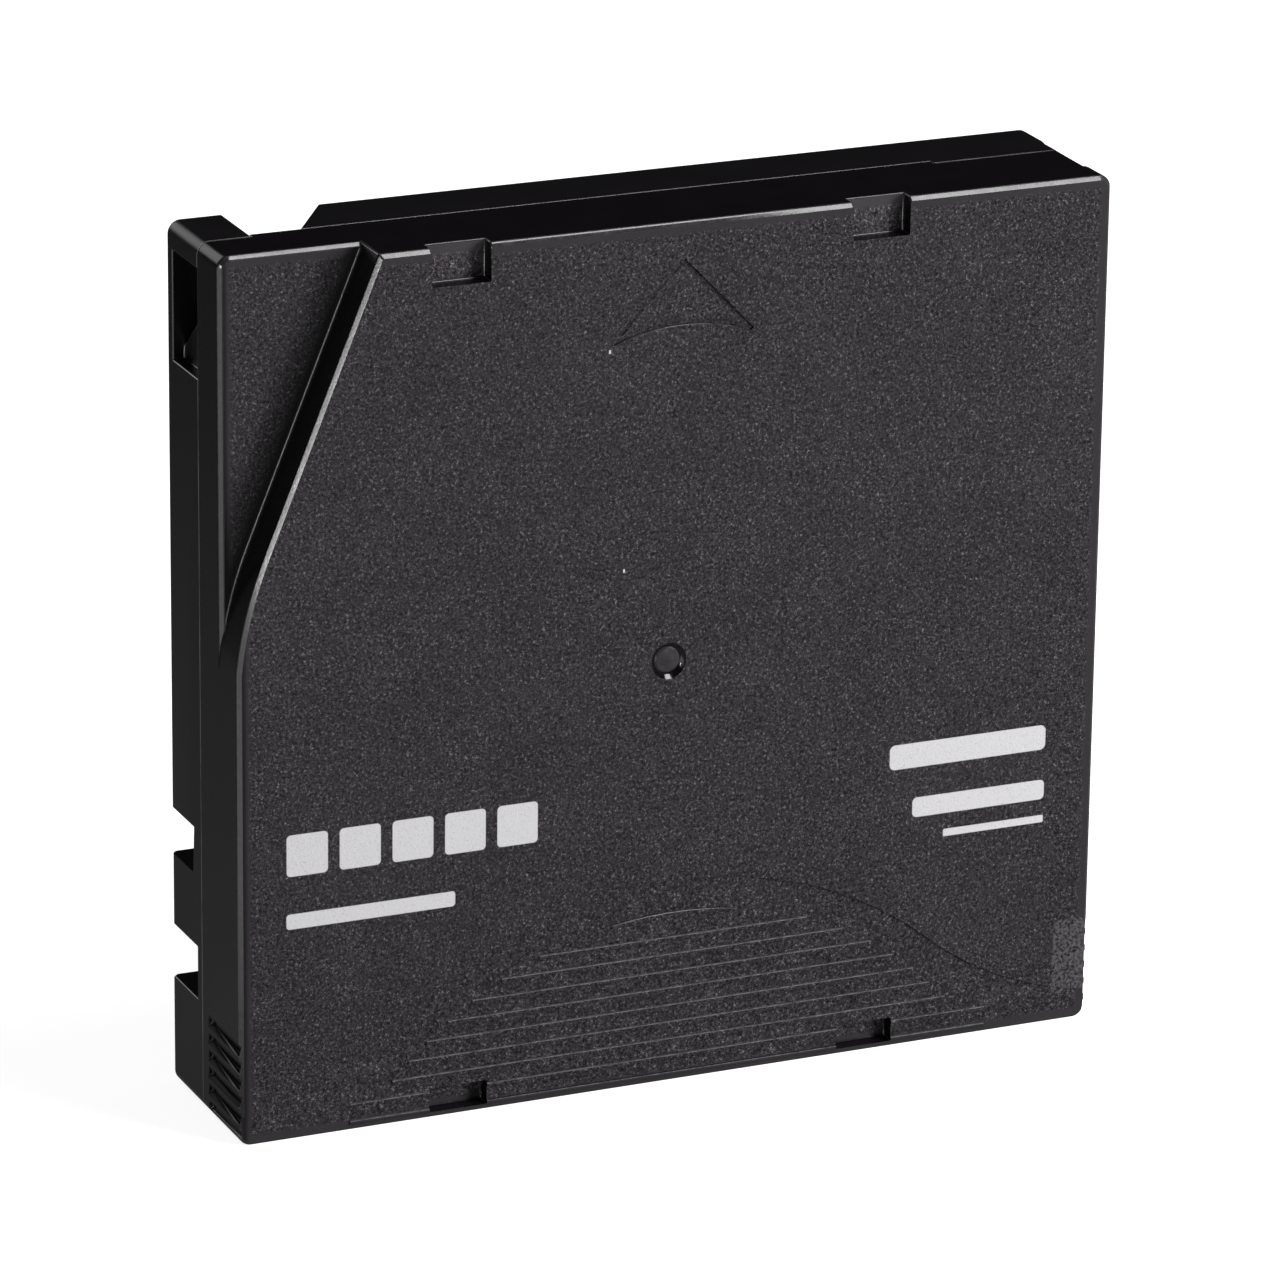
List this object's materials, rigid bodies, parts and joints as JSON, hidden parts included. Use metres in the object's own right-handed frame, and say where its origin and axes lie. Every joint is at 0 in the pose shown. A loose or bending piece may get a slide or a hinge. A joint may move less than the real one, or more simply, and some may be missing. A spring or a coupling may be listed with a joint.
{
  "type": "data tape cartridge",
  "caption": "Flat square plastic case holding one reel of half-inch data tape, with a sliding access door, reel brake and write-protect slider.",
  "frame": {"origin": "centre of the rear edge, the face that it stands on", "axes": "+X across the case towards the access door's side, +Y out of the underside with the hub opening, +Z from the rear edge up to the front (insertion) edge"},
  "size_m": [0.1054, 0.0216, 0.102],
  "materials": {
    "shell_plastic": "spark-grained charcoal on the top face, smooth elsewhere",
    "reel_plastic": "satin moulded plastic",
    "clear_flange": "smooth moulded plastic",
    "bare_steel": "plain bright steel",
    "screw_steel": "black zinc",
    "tape_film": "smooth coated film",
    "brake_plastic": "natural acetal",
    "door_plastic": "smooth black plastic",
    "slider_plastic": "red moulded plastic",
    "board_laminate": "coated laminate",
    "chip_resin": "moulded resin"
  },
  "bodies": {
    "case": {"upper_shell": "shell_plastic", "lower_shell": "shell_plastic", "case_screws": "screw_steel", "leader_pin": "bare_steel", "tape_clamp": "brake_plastic", "leader_tape": "tape_film", "pin_clip_lower": "bare_steel", "pin_clip_upper": "bare_steel", "memory_board": "board_laminate", "memory_chip": "chip_resin", "brake_spring": "bare_steel", "door_spring": "bare_steel"},
    "reel": {"reel_hub": "reel_plastic", "upper_flange": "clear_flange", "clutch_plate": "bare_steel", "tape_pack": "tape_film"},
    "brake": {"brake_button": "brake_plastic"},
    "brake_release": {"brake_release_plate": "brake_plastic"},
    "door": {"access_door": "door_plastic"},
    "write_protect": {"write_protect_tab": "slider_plastic"}
  },
  "joints": [
    {"name": "reel_spin", "type": "hinge", "parent": "case", "child": "reel", "pos_m": [-0.00115, 0, 0.051], "axis": [0, 1, 0], "continuous": true},
    {"name": "brake_lift", "type": "slide", "parent": "case", "child": "brake", "axis": [0, -1, 0], "range_m": [0, 0.0015], "stiffness_N_per_m": 300, "springref_m": -0.004, "deforming": ["brake_spring"]},
    {"name": "release_lift", "type": "slide", "parent": "reel", "child": "brake_release", "axis": [0, -1, 0], "range_m": [0, 0.0015]},
    {"name": "door_slide", "type": "slide", "parent": "case", "child": "door", "axis": [0, 0, -1], "range_m": [0, 0.015], "stiffness_N_per_m": 25, "springref_m": -0.015, "deforming": ["door_spring"]},
    {"name": "write_protect_slide", "type": "slide", "parent": "case", "child": "write_protect", "axis": [1, 0, 0], "range_m": [0, 0.0048]}
  ],
  "couplings": [
    {"joint": "release_lift", "follows": "brake_lift", "ratio": 1}
  ]
}
